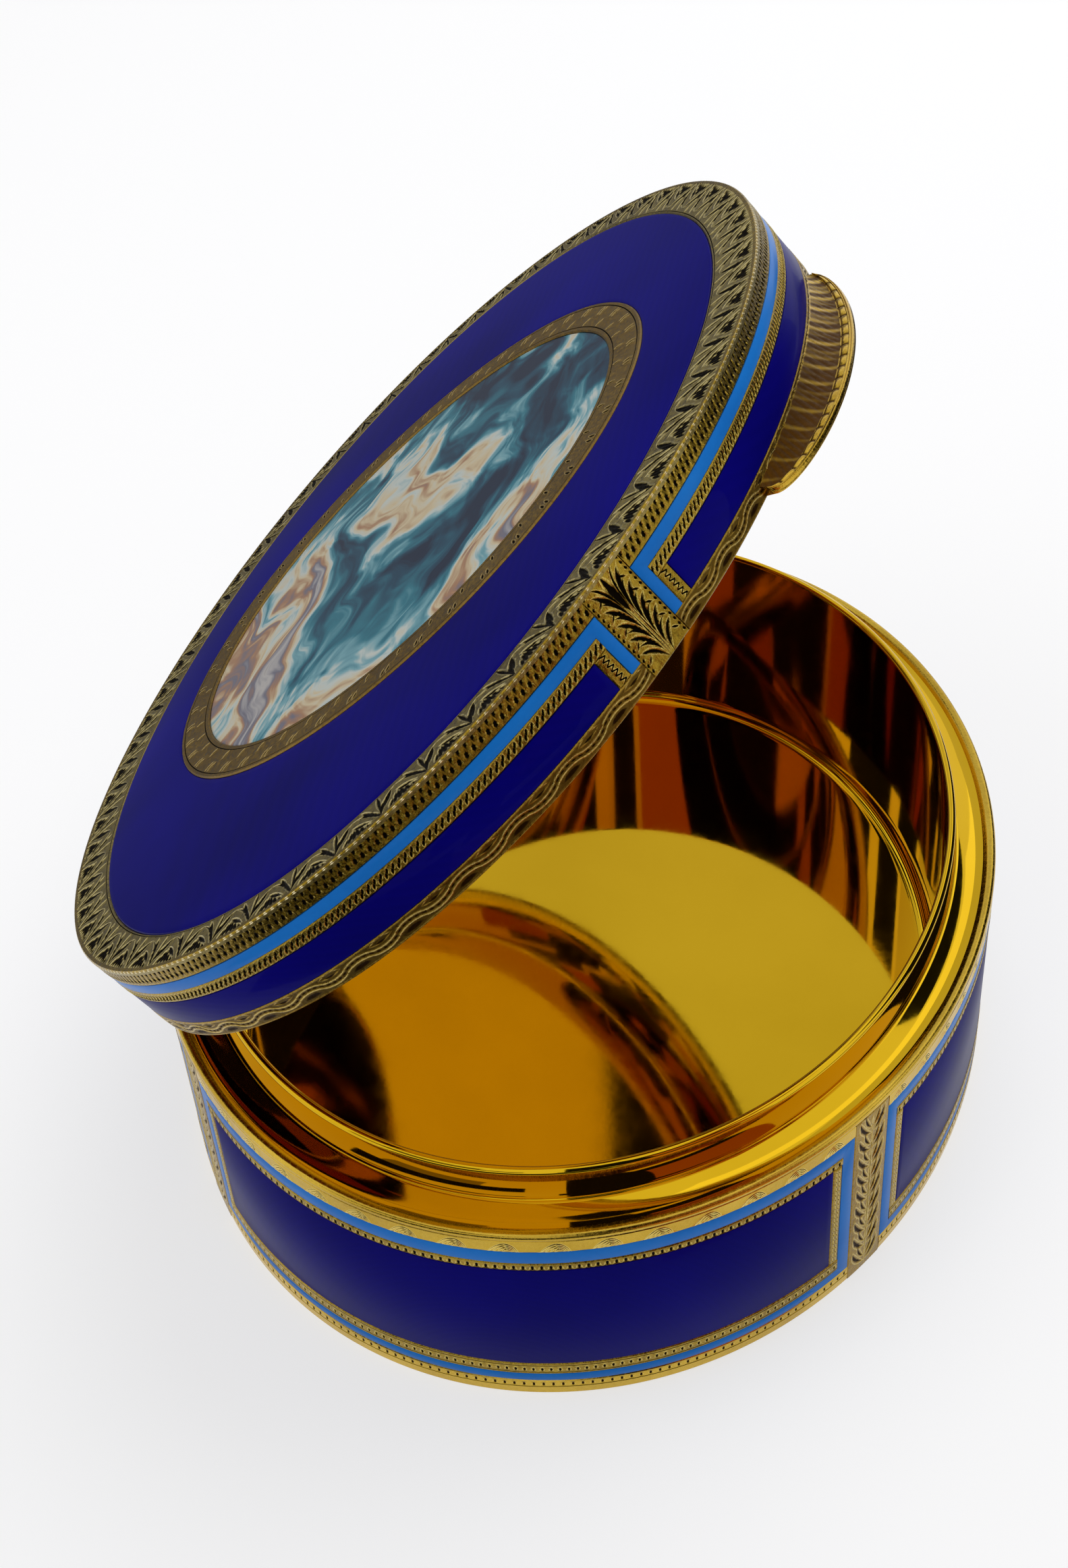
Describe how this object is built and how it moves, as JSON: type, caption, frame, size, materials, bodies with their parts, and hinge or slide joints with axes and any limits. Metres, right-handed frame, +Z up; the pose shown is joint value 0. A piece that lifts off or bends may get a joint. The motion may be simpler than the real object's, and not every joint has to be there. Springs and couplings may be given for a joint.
{
  "type": "table box",
  "caption": "Oval hinged table box in gilt metal with blue enamel panels, engraved borders, a round lid medallion and a front thumbpiece.",
  "frame": {"origin": "middle of the flat underside of the body, on the surface that the box stands on", "axes": "+Z up; +X along the box's length; -Y is the front with the thumbpiece, +Y the back with the hinge"},
  "size_m": [0.12, 0.101, 0.0937],
  "materials": {
    "engraved_gilt": "gilt metal, engraved by hand, dark in the cuts, rubbed bright on the edges",
    "plain_gilt": "gilt metal, fine brushed",
    "polished_gilt": "gilt metal with a mirror polish",
    "dark_blue_enamel": "translucent dark blue vitreous enamel over a turned ground, polished, opaque from outside",
    "light_blue_enamel": "opaque light blue vitreous enamel, stoned and polished",
    "painted_enamel": "painted vitreous enamel under clear flux, a marbled pattern of teal, cream and grey"
  },
  "bodies": {
    "box": {"base_plate": "plain_gilt", "body_band": "engraved_gilt", "body_liner": "polished_gilt", "rim_bezel": "polished_gilt", "body_hinge_leaf": "plain_gilt", "hinge_pin": "plain_gilt", "body_line_front": "light_blue_enamel", "body_panel_front": "dark_blue_enamel", "body_line_back": "light_blue_enamel", "body_panel_back": "dark_blue_enamel", "body_line_left": "light_blue_enamel", "body_panel_left": "dark_blue_enamel", "body_line_right": "light_blue_enamel", "body_panel_right": "dark_blue_enamel"},
    "lid": {"lid_band": "engraved_gilt", "lid_plate": "engraved_gilt", "lid_liner": "polished_gilt", "lid_enamel": "dark_blue_enamel", "medallion_ring": "engraved_gilt", "medallion": "painted_enamel", "thumbpiece": "engraved_gilt", "lid_hinge_leaf": "plain_gilt", "lid_line_front": "light_blue_enamel", "lid_panel_front": "dark_blue_enamel", "lid_line_back": "light_blue_enamel", "lid_panel_back": "dark_blue_enamel", "lid_line_left": "light_blue_enamel", "lid_panel_left": "dark_blue_enamel", "lid_line_right": "light_blue_enamel", "lid_panel_right": "dark_blue_enamel"}
  },
  "joints": [
    {"name": "lid_hinge", "type": "hinge", "parent": "box", "child": "lid", "pos_m": [0, 0.0478, 0.02575], "axis": [-1, 0, 0], "range_deg": [-39.7, 52.3]}
  ]
}
